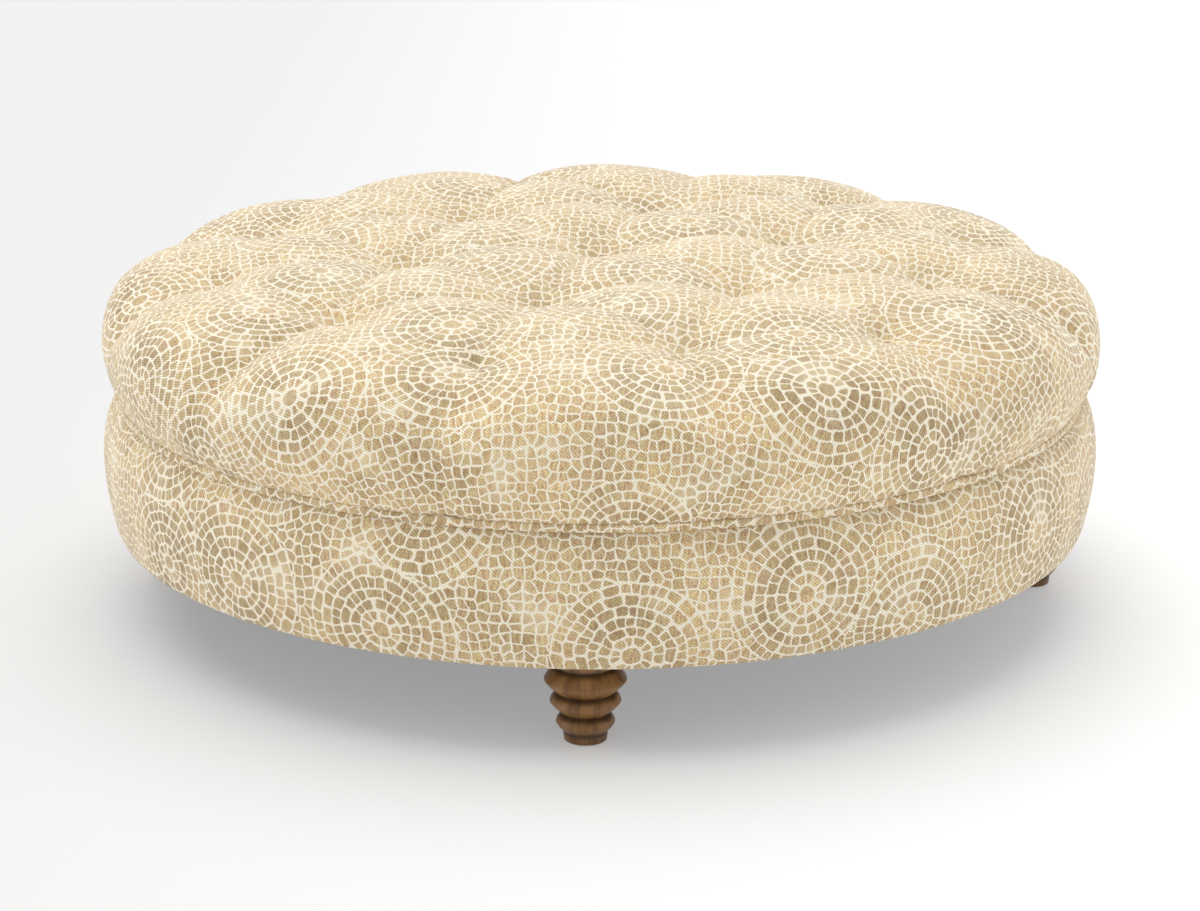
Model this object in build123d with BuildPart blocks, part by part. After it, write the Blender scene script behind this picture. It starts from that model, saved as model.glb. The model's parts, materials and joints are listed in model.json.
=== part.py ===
from build123d import *
import os
from math import cos, radians, sin, sqrt

# A round ottoman coffee table: a tufted cushion over a padded band, on four turned legs.
# Millimetres. The origin is on the floor under the centre, +Z is up and -Y is the front.

# %% Overall sizes
leg_height = 101.0  # floor to the underside of the body
underside_radius = 582.0  # lower edge of the padded band
band_radius = 603.5  # fullest part of the padded band
band_belly_height = 89.5  # of that fullest part over the underside
seam_radius = 577.0  # crease between the band and the cushion
seam_height = 157.5  # crease over the underside
cushion_radius = 600.0  # fullest part of the cushion
cushion_belly_height = 75.5  # of that fullest part over the crease
shoulder_radius = 538.0  # where the cushion's side turns into its top
shoulder_height = 142.0  # of the shoulder over the crease
crown_height = 188.0  # top of the pillows over the crease

# %% Tufting
tuft_spacing = 240.0  # between neighbouring tufts, on a triangular grid
tuft_turn = 15.0  # degrees, of the grid's first row about the vertical
tuft_depth = 52.0  # crown to the floor of a tuft
rim_tuft_depth = 35.0  # pillow to floor in the outer ring, where the crown falls away
rim_tuft_drop = 6.0  # of the outer ring's floors under the inner ones
tuft_floor_radius = 8.0  # where the twine pulls the cover flat
pillow_reach = 138.0  # tuft to the top of the pillow between three tufts
valley_reach = 120.0  # tuft to the saddle half way to its neighbour

# %% Cloth, wrap and foam
cover_thickness = 1.4
batting_thickness = 4.0
dust_cover_thickness = 0.6
welt_radius = 4.0
cord_radius = 2.6
welt_recess = 2.0  # how far the welt lies back in the crease
foam_bore_radius = 10.0  # hole in the foam under each tuft
hem_width = 40.0  # cover turned in under the base
dust_cover_inset = 20.0  # from the lower edge of the band

# %% Frame
frame_radius = 568.0  # discs and bent skins, under the band's foam
deck_thickness = 18.0
base_thickness = 18.0
skin_thickness = 5.0
web_thickness = 18.0
post_width = 40.0
post_count = 8
first_post_angle = 22.5
block_width = 90.0
block_height = 38.0
block_setback = 13.0  # from the bent skin to the block's outer face

# %% Fastenings
twine_radius = 1.25
twine_hole_radius = 4.0
knot_radius = 3.0
knot_height = 3.0
washer_radius = 12.0
washer_thickness = 1.5
screw_radius = 2.1
screw_head_radius = 4.2
screw_head_height = 3.2
screw_length = 45.0
web_screw_pitch = 300.0
bolt_radius = 4.0
bolt_depth_in_leg = 35.0
bolt_stand_out = 8.0  # over the leg block
tee_barrel_radius = 5.5
tee_barrel_length = 10.0
tee_flange_radius = 11.0
tee_flange_thickness = 1.6
staple_width = 10.0
staple_wire = 0.9
staple_crown = 0.5
staple_leg = 8.0
hem_staple_count = 48
hem_staple_inset = 28.0  # from the lower edge of the band
dust_staple_count = 36
dust_staple_inset = 46.0

# %% Legs: a collar, three beads with grooves between them, and a foot
leg_circle_radius = 532.5
collar_radius = 36.0
collar_height = 10.5
neck_radius = 32.5
neck_drop = 13.5  # of each place on the leg under its top face
upper_bead_radius = 45.7
upper_bead_drop = 29.5
upper_groove_radius = 31.5
upper_groove_drop = 44.0
middle_bead_radius = 39.4
middle_bead_drop = 54.5
lower_groove_radius = 25.5
lower_groove_drop = 68.5
lower_bead_radius = 32.6
lower_bead_drop = 78.5
foot_top_radius = 24.7
foot_top_drop = 88.5
foot_radius = 23.5
foot_edge_radius = 1.0
bead_rim_radius = 2.2
bead_top_bow = 1.2
bead_under_bow = 0.6
glide_radius = 16.0
glide_thickness = 1.5

# %% Heights, worked out from the sizes above
seam_level = leg_height + seam_height
crown_level = seam_level + crown_height
tuft_floor_level = crown_level - tuft_depth
rim_floor_level = tuft_floor_level - rim_tuft_drop
cover_level = leg_height + dust_cover_thickness
base_level = cover_level + cover_thickness
base_top_level = base_level + base_thickness
deck_top_level = seam_level - welt_radius
deck_level = deck_top_level - deck_thickness
block_top_level = base_top_level + block_height
skin_radius = frame_radius - skin_thickness
post_radius = sqrt(skin_radius**2 - (post_width / 2) ** 2) - post_width / 2
block_radius = skin_radius - block_setback - block_width / 2
welt_centre_radius = seam_radius - welt_recess - welt_radius
row_spacing = tuft_spacing * sqrt(3) / 2
quarter = 90.0
sides = {"front": -90.0, "right": 0.0, "back": 90.0, "left": 180.0}
cut_overrun = 5.0

os.makedirs("parts", exist_ok=True)


def polar(radius, angle, centre=(0, 0)):
    """A point at a radius and an angle in degrees about a centre."""
    return (centre[0] + radius * cos(radians(angle)), centre[1] + radius * sin(radians(angle)))


# %% Places of the tufts: the centre, a ring of six, and an outer ring of twelve
# Each tuft has the directions of the valleys that leave it: to its neighbours and,
# from the outer ring, one fold that runs out over the rim.
row_angles = [tuft_turn + 60 * row for row in range(6)]
tufts = [{"radius": 0, "angle": 0, "valleys": row_angles, "fold": None}]
for angle in row_angles:
    tufts.append({"radius": tuft_spacing, "angle": angle, "valleys": row_angles, "fold": None})
for angle in row_angles:
    corner_valleys = [angle + turn for turn in (120, 180, 240)]
    tufts.append({"radius": 2 * tuft_spacing, "angle": angle, "valleys": corner_valleys, "fold": angle})
    middle = angle + 30
    middle_valleys = [middle + turn for turn in (90, 150, 210, 270)]
    tufts.append({"radius": 2 * row_spacing, "angle": middle, "valleys": middle_valleys, "fold": middle})
tuft_places = [polar(tuft["radius"], tuft["angle"]) for tuft in tufts]
tuft_floors = [tuft_floor_level if tuft["fold"] is None else rim_floor_level for tuft in tufts]

# %% Shape of the cushion, level by level from the crease to the crown
# Each level has its shares of the height and of the reach of its stretch, then how far
# the rim folds draw it in, and how far an inset moves it sideways and down.
fold_count = 12
lobe_angle = 360 / fold_count
fold_depth = 20.0  # of the rim folds where they are deepest, at the shoulder
belly_rise = cushion_belly_height - welt_radius
shoulder_rise = shoulder_height - cushion_belly_height
crown_rise = crown_height - shoulder_height
waist_radius = seam_radius + (cushion_radius - seam_radius) * welt_radius / cushion_belly_height
belly_reach = cushion_radius - waist_radius
shoulder_reach = cushion_radius - shoulder_radius
waist_to_belly_shares = [
    (0.0, 0.0, 0.02, 1.0, 0.0),
    (0.45, 0.68, 0.05, 1.0, 0.0),
    (1.0, 1.0, 0.2, 1.0, 0.0),
]
belly_to_shoulder_shares = [
    (0.55, 0.17, 0.5, 0.9, 0.4),
    (0.86, 0.5, 0.85, 0.7, 0.7),
    (1.06, 1.03, 1.0, 0.4, 0.9),
]
shoulder_to_crown_shares = [
    (0.38, 0.89, 0.8, 0.2, 1.0),
    (0.67, 0.72, 0.3, 0.0, 1.0),
    (0.9, 0.45, 0.05, 0.0, 1.0),
    (1.0, 0.2, 0.02, 0.0, 1.0),
]
side_levels = [
    (welt_radius + rise * belly_rise, waist_radius + out * belly_reach, *rest)
    for rise, out, *rest in waist_to_belly_shares
]
side_levels += [
    (cushion_belly_height + rise * shoulder_rise, cushion_radius - back * shoulder_reach, *rest)
    for rise, back, *rest in belly_to_shoulder_shares
]
crown_levels = side_levels[-1:] + [
    (shoulder_height + rise * crown_rise, out * shoulder_radius, *rest)
    for rise, out, *rest in shoulder_to_crown_shares
]

# %% Shape of a tuft, level by level from its floor
# Each level has its share of the depth, then how far the valleys, the pillows between
# them and the fold over the rim have run out. The last level clears the crown.
tuft_level_shares = [
    (0.0, 0.03, 0.0, 0.03),
    (0.2, 0.2, 0.095, 0.6),
    (0.45, 0.55, 0.29, 1.05),
    (0.7, 1.04, 0.56, 1.2),
    (0.92, 1.5, 0.87, 1.3),
]
over_crown_shares = (2.0, 1.3, 1.45)
fold_bow_share = 0.1


def reach(share, furthest):
    """How far a valley or a pillow has run out, from the edge of the tuft's flat floor."""
    return tuft_floor_radius + share * (furthest - tuft_floor_radius)


def bowed(start, end, centre):
    """The middle of a chord, drawn a little towards a centre."""
    return tuple(c + (1 - fold_bow_share) * ((a + b) / 2 - c) for a, b, c in zip(start, end, centre))


def tuft_outline(tuft, at, valley_share, pillow_share, fold_share):
    """One level of a tuft: arcs between the valleys that leave it."""
    valley = reach(valley_share, valley_reach)
    pillow = reach(pillow_share, pillow_reach)
    ends = [(angle % 360, valley) for angle in tuft["valleys"]]
    if tuft["fold"] is not None:
        ends.append((tuft["fold"] % 360, reach(fold_share, cushion_radius - tuft["radius"])))
    ends.sort()
    for (angle, run), (next_angle, next_run) in zip(ends, ends[1:] + ends[:1]):
        start = polar(run, angle, at)
        end = polar(next_run, next_angle, at)
        middle = polar(pillow, angle + (next_angle - angle) % 360 / 2, at)
        if run != next_run:
            middle = bowed(start, end, at)
        ThreePointArc(start, middle, end)


def tufted_form(inset):
    """The tufted cushion, drawn in by an inset from the outer face of its cover."""
    with BuildPart() as form:
        for levels in (side_levels, crown_levels):
            for height, radius, fold_share, sideways_share, downward_share in levels:
                rim = radius - sideways_share * inset
                fold = rim - fold_share * fold_depth
                with BuildSketch(Plane.XY.offset(seam_level + height - downward_share * inset)):
                    with BuildLine():
                        for lobe in range(fold_count):
                            start = tuft_turn + lobe * lobe_angle
                            ThreePointArc(polar(fold, start),
                                          polar(rim, start + lobe_angle / 2),
                                          polar(fold, start + lobe_angle))
                    make_face()
            loft()
        hollows = []
        for tuft, at, floor in zip(tufts, tuft_places, tuft_floors):
            depth = tuft_depth if tuft["fold"] is None else rim_tuft_depth
            levels = [(floor + shares[0] * depth, shares[1:]) for shares in tuft_level_shares]
            levels.append((crown_level + cut_overrun, over_crown_shares))
            for level, shares in levels:
                with BuildSketch(Plane.XY.offset(level - inset)):
                    with BuildLine():
                        tuft_outline(tuft, at, *shares)
                    make_face()
            hollows.append(loft(mode=Mode.PRIVATE))
        add(hollows, mode=Mode.SUBTRACT)
    return form.part


# %% Top cover: the printed fabric over the cushion
cover_form = tufted_form(0)
batting_form = tufted_form(cover_thickness)
foam_form = tufted_form(cover_thickness + batting_thickness)

with BuildPart() as top_cover:
    add(cover_form)
    add(batting_form, mode=Mode.SUBTRACT)
top_cover.part.label = "top_cover"
export_step(top_cover.part, "parts/top_cover.step")

# %% Top batting: the wrap under the cover, pierced by the twines
with BuildPart() as top_batting:
    add(batting_form)
    add(foam_form, mode=Mode.SUBTRACT)
    with BuildSketch(Plane.XY.offset(deck_top_level)):
        with Locations(*tuft_places):
            Circle(twine_radius)
    extrude(amount=crown_height, mode=Mode.SUBTRACT)
top_batting.part.label = "top_batting"
export_step(top_batting.part, "parts/top_batting.step")

# %% Top foam: the cushion's block, with a neck inside the welt and a bore under each tuft
with BuildPart() as top_foam:
    add(foam_form)
    with BuildSketch(Plane.XY.offset(deck_top_level)):
        Circle(welt_centre_radius - welt_radius)
    extrude(amount=2 * welt_radius)
    with BuildSketch(Plane.XY.offset(deck_top_level)):
        with Locations(*tuft_places):
            Circle(foam_bore_radius)
    extrude(amount=crown_height, mode=Mode.SUBTRACT)
top_foam.part.label = "top_foam"
export_step(top_foam.part, "parts/top_foam.step")

# %% Tufting twines: from under the cover's tuft floors to knots under the washers
with BuildPart() as tuft_twines:
    for place, floor in zip(tuft_places, tuft_floors):
        with BuildSketch(Plane.XY.offset(deck_level - washer_thickness)):
            with Locations(place):
                Circle(twine_radius)
        extrude(amount=floor - cover_thickness - deck_level + washer_thickness)
    with BuildSketch(Plane.XY.offset(deck_level - washer_thickness)):
        with Locations(*tuft_places):
            Circle(knot_radius)
    extrude(amount=-knot_height)
tuft_twines.part.label = "tuft_twines"
export_step(tuft_twines.part, "parts/tuft_twines.step")

with BuildPart() as tuft_washers:
    with BuildSketch(Plane.XY.offset(deck_level)):
        with Locations(*tuft_places):
            Circle(washer_radius)
            Circle(twine_radius, mode=Mode.SUBTRACT)
    extrude(amount=-washer_thickness)
tuft_washers.part.label = "tuft_washers"
export_step(tuft_washers.part, "parts/tuft_washers.step")

# %% Welt: a cord in a tube of the same fabric, set back in the crease
with BuildPart() as welt_cord:
    with BuildSketch(Plane.XZ):
        with Locations((welt_centre_radius, seam_level)):
            Circle(cord_radius)
    revolve(axis=Axis.Z)
welt_cord.part.label = "welt_cord"
export_step(welt_cord.part, "parts/welt_cord.step")

with BuildPart() as welt_cover:
    with BuildSketch(Plane.XZ):
        with Locations((welt_centre_radius, seam_level)):
            Circle(welt_radius)
            Circle(cord_radius, mode=Mode.SUBTRACT)
    revolve(axis=Axis.Z)
welt_cover.part.label = "welt_cover"
export_step(welt_cover.part, "parts/welt_cover.step")

# %% Places of the posts, the webs and the screws that hold them to both discs
post_angles = [first_post_angle + post * 360 / post_count for post in range(post_count)]
web_angle = tuft_turn + 120
web_offset = row_spacing / 2
web_length = 2 * sqrt(skin_radius**2 - (web_offset + web_thickness / 2) ** 2)
web_middles = {"left": polar(web_offset, web_angle + 90), "right": polar(web_offset, web_angle - 90)}
screw_places = [polar(post_radius, angle) for angle in post_angles]
for middle in web_middles.values():
    screw_places += [polar(step * web_screw_pitch, web_angle, middle) for step in (-1, 0, 1)]


def screw_group(head_level, towards):
    """Countersunk screws, their heads flush at a level and pointing up or down from it."""
    shank_length = screw_length - screw_head_height
    head_middle = head_level + towards * screw_head_height / 2
    shank_middle = head_level + towards * (screw_head_height + shank_length / 2)
    radii = (screw_head_radius, screw_radius) if towards > 0 else (screw_radius, screw_head_radius)
    with BuildPart() as screws:
        with Locations(*[(x, y, head_middle) for x, y in screw_places]):
            Cone(*radii, screw_head_height)
        with Locations(*[(x, y, shank_middle) for x, y in screw_places]):
            Cylinder(screw_radius, shank_length)
    return screws


deck_screws = screw_group(deck_top_level, -1)
deck_screws.part.label = "deck_screws"
export_step(deck_screws.part, "parts/deck_screws.step")

base_screws = screw_group(base_level, 1)
base_screws.part.label = "base_screws"
export_step(base_screws.part, "parts/base_screws.step")


# %% Staples: their crowns press on the cloth and their legs go up into the base
def staple_group(level, crown_way, radius, count, first_angle):
    """A ring of staples with their crowns along the ring, over or under a level."""
    with BuildPart() as staples:
        with BuildSketch(Plane.XY.offset(level)):
            with PolarLocations(radius, count, start_angle=first_angle):
                Rectangle(staple_wire, staple_width)
        extrude(amount=crown_way * staple_crown)
        with BuildSketch(Plane.XY.offset(level)):
            with PolarLocations(radius, count, start_angle=first_angle):
                with GridLocations(staple_wire, staple_width - staple_wire, 1, 2):
                    Rectangle(staple_wire, staple_wire)
        extrude(amount=staple_leg)
    return staples


hem_staples = staple_group(cover_level, 1, underside_radius - hem_staple_inset, hem_staple_count, 0)
hem_staples.part.label = "hem_staples"
export_step(hem_staples.part, "parts/hem_staples.step")

dust_cover_staples = staple_group(leg_height, -1, underside_radius - dust_staple_inset, dust_staple_count,
                                  180 / dust_staple_count)
dust_cover_staples.part.label = "dust_cover_staples"
export_step(dust_cover_staples.part, "parts/dust_cover_staples.step")

# %% Hanger bolts and tee nuts over the legs
leg_places = {side: polar(leg_circle_radius, direction) for side, direction in sides.items()}
bolt_end_level = block_top_level + bolt_stand_out

with BuildPart() as hanger_bolts:
    with BuildSketch(Plane.XY.offset(leg_height - bolt_depth_in_leg)):
        with Locations(*leg_places.values()):
            Circle(bolt_radius)
    extrude(amount=bolt_end_level - leg_height + bolt_depth_in_leg)
hanger_bolts.part.label = "hanger_bolts"
export_step(hanger_bolts.part, "parts/hanger_bolts.step")

with BuildPart() as tee_nuts:
    with BuildSketch(Plane.XY.offset(block_top_level)):
        with Locations(*leg_places.values()):
            Circle(tee_flange_radius)
    extrude(amount=tee_flange_thickness)
    with BuildSketch(Plane.XY.offset(block_top_level)):
        with Locations(*leg_places.values()):
            Circle(tee_barrel_radius)
    extrude(amount=-tee_barrel_length)
    add(hanger_bolts.part, mode=Mode.SUBTRACT)
tee_nuts.part.label = "tee_nuts"
export_step(tee_nuts.part, "parts/tee_nuts.step")

# %% Plywood discs: the deck that carries the cushion, and the base that carries the frame
with BuildPart() as deck_panel:
    with BuildSketch(Plane.XY.offset(deck_level)):
        Circle(frame_radius)
        with Locations(*tuft_places):
            Circle(twine_hole_radius, mode=Mode.SUBTRACT)
    extrude(amount=deck_thickness)
    add(deck_screws.part, mode=Mode.SUBTRACT)
deck_panel.part.label = "deck_panel"
export_step(deck_panel.part, "parts/deck_panel.step")

with BuildPart() as base_panel:
    with BuildSketch(Plane.XY.offset(base_level)):
        Circle(frame_radius)
    extrude(amount=base_thickness)
    for fastening in (base_screws, hem_staples, dust_cover_staples, hanger_bolts):
        add(fastening.part, mode=Mode.SUBTRACT)
base_panel.part.label = "base_panel"
export_step(base_panel.part, "parts/base_panel.step")

# %% Webs, posts and leg blocks between the discs
for side, middle in web_middles.items():
    with BuildPart() as web:
        with BuildSketch(Plane.XY.offset(base_top_level)):
            with Locations(middle):
                Rectangle(web_length, web_thickness, rotation=web_angle)
        extrude(amount=deck_level - base_top_level)
        add(deck_screws.part, mode=Mode.SUBTRACT)
        add(base_screws.part, mode=Mode.SUBTRACT)
    web.part.label = f"web_{side}"
    export_step(web.part, f"parts/web_{side}.step")

for number, angle in enumerate(post_angles, start=1):
    with BuildPart() as post:
        with BuildSketch(Plane.XY.offset(base_top_level)):
            with Locations(polar(post_radius, angle)):
                Rectangle(post_width, post_width, rotation=angle)
        extrude(amount=deck_level - base_top_level)
        add(deck_screws.part, mode=Mode.SUBTRACT)
        add(base_screws.part, mode=Mode.SUBTRACT)
    post.part.label = f"post_{number}"
    export_step(post.part, f"parts/post_{number}.step")

for side, direction in sides.items():
    with BuildPart() as leg_block:
        with BuildSketch(Plane.XY.offset(base_top_level)):
            with Locations(polar(block_radius, direction)):
                Rectangle(block_width, block_width)
            with Locations(leg_places[side]):
                Circle(bolt_radius, mode=Mode.SUBTRACT)
        extrude(amount=block_height)
        add(tee_nuts.part, mode=Mode.SUBTRACT)
    leg_block.part.label = f"leg_block_{side}"
    export_step(leg_block.part, f"parts/leg_block_{side}.step")

# %% Bent skins: four quarters of thin plywood, butted on posts
for side, direction in sides.items():
    with BuildPart() as side_panel:
        with BuildSketch(Plane.XZ.rotated((0, 0, direction - quarter / 2 - first_post_angle))):
            with Locations(((skin_radius + frame_radius) / 2, (base_top_level + deck_level) / 2)):
                Rectangle(skin_thickness, deck_level - base_top_level)
        revolve(axis=Axis.Z, revolution_arc=quarter)
    side_panel.part.label = f"side_panel_{side}"
    export_step(side_panel.part, f"parts/side_panel_{side}.step")

# %% Padded band: its cover, turned in under the base, and four strips of foam
band_belly_level = leg_height + band_belly_height
hem_radius = underside_radius - hem_width


def band_side(inset, low, high):
    """The swelling side of the band from one level to another, as two arcs."""
    belly = (band_radius - inset, band_belly_level)
    TangentArc(belly, (underside_radius - inset, low), tangent=(0, -1))
    TangentArc(belly, (seam_radius - inset, high), tangent=(0, 1))


with BuildPart() as side_cover:
    with BuildSketch(Plane.XZ):
        with BuildLine():
            band_side(0, cover_level, deck_top_level)
            Line((seam_radius, deck_top_level), (seam_radius - cover_thickness, deck_top_level))
            band_side(cover_thickness, base_level, deck_top_level)
            Line((underside_radius - cover_thickness, base_level), (hem_radius, base_level))
            Line((hem_radius, base_level), (hem_radius, cover_level))
            Line((hem_radius, cover_level), (underside_radius, cover_level))
        make_face()
    revolve(axis=Axis.Z)
    add(hem_staples.part, mode=Mode.SUBTRACT)
side_cover.part.label = "side_cover"
export_step(side_cover.part, "parts/side_cover.step")

for side, direction in sides.items():
    with BuildPart() as side_foam:
        with BuildSketch(Plane.XZ.rotated((0, 0, direction - quarter / 2))):
            with BuildLine():
                band_side(cover_thickness, base_level, deck_top_level)
                Line((seam_radius - cover_thickness, deck_top_level), (frame_radius, deck_top_level))
                Line((frame_radius, deck_top_level), (frame_radius, base_level))
                Line((frame_radius, base_level), (underside_radius - cover_thickness, base_level))
            make_face()
        revolve(axis=Axis.Z, revolution_arc=quarter)
    side_foam.part.label = f"side_foam_{side}"
    export_step(side_foam.part, f"parts/side_foam_{side}.step")

# %% Dust cover: a disc of thin black cloth under the base
with BuildPart() as dust_cover:
    with BuildSketch(Plane.XY.offset(leg_height)):
        Circle(underside_radius - dust_cover_inset)
    extrude(amount=dust_cover_thickness)
    add(dust_cover_staples.part, mode=Mode.SUBTRACT)
    add(hanger_bolts.part, mode=Mode.SUBTRACT)
dust_cover.part.label = "dust_cover"
export_step(dust_cover.part, "parts/dust_cover.step")

# %% Legs: turned wood on hanger bolts, each with a glide under its foot
beads = [
    (upper_bead_radius, upper_bead_drop, upper_groove_radius, upper_groove_drop),
    (middle_bead_radius, middle_bead_drop, lower_groove_radius, lower_groove_drop),
    (lower_bead_radius, lower_bead_drop, foot_top_radius, foot_top_drop),
]
for side, place in leg_places.items():
    top_of_leg = Plane(origin=(*place, leg_height), x_dir=(1, 0, 0), z_dir=(0, -1, 0))
    leg_axis = Axis((*place, leg_height), (0, 0, 1))
    with BuildPart() as leg:
        with BuildSketch(top_of_leg) as profile:
            with BuildLine():
                Polyline((0, 0), (collar_radius, 0), (collar_radius, -collar_height),
                         (neck_radius, -collar_height), (neck_radius, -neck_drop))
                above = (neck_radius, -neck_drop)
                for rim_radius, rim_drop, groove_radius, groove_drop in beads:
                    rim = (rim_radius, -rim_drop)
                    groove = (groove_radius, -groove_drop)
                    SagittaArc(above, rim, bead_top_bow)
                    SagittaArc(rim, groove, bead_under_bow)
                    above = groove
                Polyline(above, (foot_radius, glide_thickness - leg_height),
                         (0, glide_thickness - leg_height), (0, 0))
            make_face()
            for rim_radius, rim_drop, groove_radius, groove_drop in beads:
                rims = profile.vertices().filter_by_position(Axis.Y, -rim_drop - bead_rim_radius,
                                                             -rim_drop + bead_rim_radius)
                fillet(rims.sort_by(Axis.X)[-1], radius=bead_rim_radius)
            foot_corner = profile.vertices().group_by(Axis.Y)[0].sort_by(Axis.X)[-1]
            fillet(foot_corner, radius=foot_edge_radius)
        revolve(axis=leg_axis)
        add(hanger_bolts.part, mode=Mode.SUBTRACT)
    leg.part.label = f"leg_{side}"
    export_step(leg.part, f"parts/leg_{side}.step")

for side, place in leg_places.items():
    with BuildPart() as glide:
        with BuildSketch():
            with Locations(place):
                Circle(glide_radius)
        extrude(amount=glide_thickness)
    glide.part.label = f"glide_{side}"
    export_step(glide.part, f"parts/glide_{side}.step")
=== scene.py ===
# %% [markdown]
# # A round tufted ottoman
# The object is a coffee-table ottoman: a tufted cushion sewn over a padded band, on four
# turned legs. Its wooden frame and its fastenings come from the CAD model. This lesson
# builds what a plain solid can't show: the stuffed cloth, its printed pattern, the sewing
# and the finish of each material. Everything is in metres, with the origin on the floor
# under the centre, +Z up and -Y to the front.

# %% Load the frame
import json
from math import ceil, cos, pi, radians, sin

import bpy
import numpy as np
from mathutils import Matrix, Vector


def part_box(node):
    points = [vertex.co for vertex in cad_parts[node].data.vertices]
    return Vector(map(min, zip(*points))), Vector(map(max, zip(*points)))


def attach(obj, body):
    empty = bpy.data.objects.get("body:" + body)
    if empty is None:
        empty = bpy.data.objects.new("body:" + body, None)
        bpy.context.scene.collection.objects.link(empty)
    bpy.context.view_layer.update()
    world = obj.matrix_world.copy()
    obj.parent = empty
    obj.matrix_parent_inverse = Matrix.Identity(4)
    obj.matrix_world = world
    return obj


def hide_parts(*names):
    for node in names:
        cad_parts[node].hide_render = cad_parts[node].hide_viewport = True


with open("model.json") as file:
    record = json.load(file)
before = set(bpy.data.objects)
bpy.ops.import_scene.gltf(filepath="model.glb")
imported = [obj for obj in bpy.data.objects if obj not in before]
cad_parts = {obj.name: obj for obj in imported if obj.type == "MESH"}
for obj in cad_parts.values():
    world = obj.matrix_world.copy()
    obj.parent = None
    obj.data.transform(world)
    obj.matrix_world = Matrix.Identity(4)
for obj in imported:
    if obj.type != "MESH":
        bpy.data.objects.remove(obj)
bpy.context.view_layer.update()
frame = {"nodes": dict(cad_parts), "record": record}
nodes = frame["nodes"]
scene = bpy.context.scene

# %% [markdown]
# ## A few helpers
# Colours are written as sRGB hex values, the way a paint or web swatch gives them, but a
# shader works in linear light, so one function turns them. Both kinds of node tree, for
# materials and for geometry, are built with one function that adds a node with its settings
# and links. Plain values go to the node's first inputs in order, and a dict goes to inputs
# by name or number. An input that is given as a node takes that node's first output.


# %% Colours, nodes and objects
def linear(swatch):
    """A linear RGBA colour from an sRGB hex value."""
    parts = [int(swatch[place:place + 2], 16) / 255 for place in (1, 3, 5)]
    return [p / 12.92 if p <= 0.04045 else ((p + 0.055) / 1.055) ** 2.4 for p in parts] + [1.0]


def fill(tree, node, inputs):
    """Fills or links a node's inputs by name or number."""
    for socket, value in inputs.items():
        if isinstance(value, bpy.types.Node):
            value = next(output for output in value.outputs if output.enabled)
        if isinstance(value, bpy.types.NodeSocket):
            tree.links.new(value, node.inputs[socket])
        else:
            node.inputs[socket].default_value = value


def add(tree, kind, *inputs, stops=(), **settings):
    """Adds a node. "Math ADD" is a ShaderNodeMath set to ADD, and stops are those of a ramp."""
    kind, _, operation = kind.partition(" ")
    node = tree.nodes.new(kind if kind.startswith("Geometry") else "ShaderNode" + kind)
    if operation:
        node.operation = operation
    for setting, value in settings.items():
        setattr(node, setting, value)
    for number, value in enumerate(inputs):
        fill(tree, node, value if isinstance(value, dict) else {number: value})
    if stops:
        elements = node.color_ramp.elements
        while len(elements) < len(stops):
            elements.new(1.0)
        for element, (position, swatch) in zip(elements, stops):
            element.position = position
            element.color = linear(swatch)
    return node


def new_material(name, roughness, specular=0.5, metallic=0.0):
    """A material with a Principled shader: itself, its tree, its shader and Object coordinates."""
    material = bpy.data.materials.new(name)
    material.use_nodes = True
    tree = material.node_tree
    shader = tree.nodes["Principled BSDF"]
    fill(tree, shader, {"Roughness": roughness, "Specular IOR Level": specular, "Metallic": metallic})
    return material, tree, shader, add(tree, "TexCoord").outputs["Object"]


def new_object(name, data):
    """A new object in the scene, at the origin."""
    made = bpy.data.objects.new(name, data)
    scene.collection.objects.link(made)
    return made


# %% [markdown]
# ## The camera and the light
# The photograph was taken with a long lens from four metres away and 1.4 m up, a little to
# the right of the front leg. The light is a bright, even room: the world lights everything,
# one very soft lamp from above gives the top a little more than the sides, and a weak one
# at each side stands for a window, so that the front is the quietest side. A picture of a
# room could light it too, but a plain world and three lamps are easier to steer.

# %% Camera
camera_distance = 3.9793
camera_height = 1.3957
camera_side = radians(1.7)
camera_tilt = 0.3012
focal_length = 101.63
camera_data = bpy.data.cameras.new("camera")
camera_data.lens = focal_length
camera_data.sensor_width = 36
camera_data.dof.use_dof = False
camera = new_object("camera", camera_data)
camera.location = (camera_distance * sin(camera_side), -camera_distance * cos(camera_side),
                   camera_height)
camera.rotation_euler = (pi / 2 - camera_tilt, 0, camera_side)
scene.camera = camera
scene.view_settings.view_transform = "Standard"
print("the camera is", camera_distance, "m away and", camera_height, "m up")

# %% Light
horizon_strength = 1.06
zenith_strength = 0.48
sky_rise = 0.45  # how far up the brightness of the horizon has gone
window_spread = radians(50)
window_pitch = pi / 2 - radians(1)  # a window's light comes in almost level
lamps = (  # name, strength, how wide it is spread, and how it is turned
    ("overhead_lamp", 2.12, radians(70), (radians(-17), radians(-9), 0)),
    ("left_window", 0.74, window_spread, (window_pitch, 0, radians(-86))),
    ("right_window", 0.50, window_spread, (window_pitch, 0, radians(100))))
world = bpy.data.worlds.new("pale_room")
world.use_nodes = True
tree = world.node_tree
upward = add(tree, "SeparateXYZ", add(tree, "TexCoord").outputs["Generated"])
level = add(tree, "MapRange", upward.outputs["Z"], 0.0, sky_rise, horizon_strength, zenith_strength)
fill(tree, tree.nodes["Background"], {"Strength": level, "Color": linear("#ffffff")})
scene.world = world
for name, strength, spread, direction in lamps:
    sun = bpy.data.lights.new(name, "SUN")
    sun.energy = strength
    sun.angle = spread
    new_object(name, sun).rotation_euler = direction
print("lamps:", len(lamps))

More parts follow.
